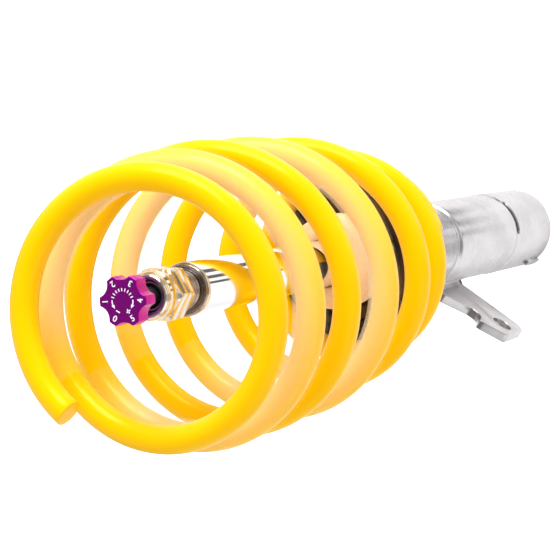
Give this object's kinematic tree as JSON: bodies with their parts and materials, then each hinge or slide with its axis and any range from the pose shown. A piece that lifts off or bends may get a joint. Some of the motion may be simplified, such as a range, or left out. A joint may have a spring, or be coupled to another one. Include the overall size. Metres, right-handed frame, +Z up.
{
  "type": "coilover strut",
  "caption": "Strut damper with a threaded body, height-adjustable spring perch, barrel coil spring, sway-bar link bracket and rebound dial on the piston rod.",
  "frame": {"origin": "centre of the strut's flat foot", "axes": "+Z up the strut axis to the rebound dial, +X the way the sway-bar link bracket points, +Y away from the bracket's outer face"},
  "size_m": [0.1399, 0.1407, 0.5225],
  "materials": {
    "stainless": "satin stainless steel",
    "steel": "bare machined steel",
    "chrome": "polished hard chrome",
    "zinc": "pale yellow passivated zinc plate",
    "cast_alloy": "machined casting",
    "purple": "purple anodised",
    "black_alloy": "black anodised",
    "spring_yellow": "glossy yellow powder coat",
    "milky_sleeve": "translucent milky plastic",
    "cream_foam": "cream microcellular foam",
    "nylon": "dark violet nylon",
    "black_rubber": "black rubber",
    "ptfe": "bronze-filled sliding polymer"
  },
  "bodies": {
    "strut": {"strut_tube": "stainless", "foot_plug": "stainless", "link_bracket": "stainless", "bracket_weld": "stainless", "locating_tab": "stainless", "pressure_tube": "steel", "foot_valve": "steel", "foot_valve_disc": "steel", "foot_valve_bolt": "steel", "rod_guide": "cast_alloy", "guide_bush": "ptfe", "rod_seal": "black_rubber", "gland_cap": "stainless", "rod_wiper": "black_rubber", "bump_washer": "black_rubber"},
    "piston_rod": {"piston_rod": "chrome", "rod_nut": "zinc", "nylon_ring": "nylon", "rebound_shims": "steel", "piston": "steel", "piston_band": "ptfe", "compression_shims": "steel", "piston_nut": "steel", "rebound_stop": "black_rubber", "detent_ring": "steel"},
    "rebound_adjuster": {"adjuster_knob": "purple", "adjuster_shaft": "black_alloy", "stem_o_ring": "black_rubber", "knob_grub_screw": "steel"},
    "metering_needle": {"metering_needle": "steel"},
    "bump_stop": {"bump_stop": "cream_foam"},
    "spring_perch": {"spring_plate": "black_alloy", "spring_pad": "black_rubber"},
    "perch_collar": {"perch_collar": "black_alloy", "lock_ring": "black_alloy"},
    "main_spring": {"main_spring": "spring_yellow", "upper_sleeve": "milky_sleeve", "lower_sleeve": "milky_sleeve"}
  },
  "joints": [
    {"name": "rod_stroke", "type": "slide", "parent": "strut", "child": "piston_rod", "axis": [0, 0, -1], "range_m": [0, 0.13], "stiffness_N_per_m": 300, "springref_m": -0.5},
    {"name": "dial_turn", "type": "hinge", "parent": "piston_rod", "child": "rebound_adjuster", "pos_m": [0, 0, 0.51], "axis": [0, 0, -1], "range_deg": [0, 300]},
    {"name": "needle_travel", "type": "slide", "parent": "piston_rod", "child": "metering_needle", "axis": [0, 0, 1], "range_m": [0, 0.0008333]},
    {"name": "bump_stop_slide", "type": "slide", "parent": "strut", "child": "bump_stop", "axis": [0, 0, 1], "range_m": [0, 0.03]},
    {"name": "perch_height", "type": "slide", "parent": "strut", "child": "spring_perch", "axis": [0, 0, 1], "range_m": [-0.054, 0.004]},
    {"name": "collar_turn", "type": "hinge", "parent": "spring_perch", "child": "perch_collar", "pos_m": [0, 0, 0.25], "axis": [0, 0, 1], "range_deg": [-9720, 720]},
    {"name": "spring_lift", "type": "slide", "parent": "spring_perch", "child": "main_spring", "axis": [0, 0, 1], "range_m": [0, 0.03]}
  ],
  "couplings": [
    {"joint": "dial_turn", "follows": "needle_travel", "rad_per_m": 6283.2},
    {"joint": "collar_turn", "follows": "perch_height", "rad_per_m": 3141.6}
  ]
}
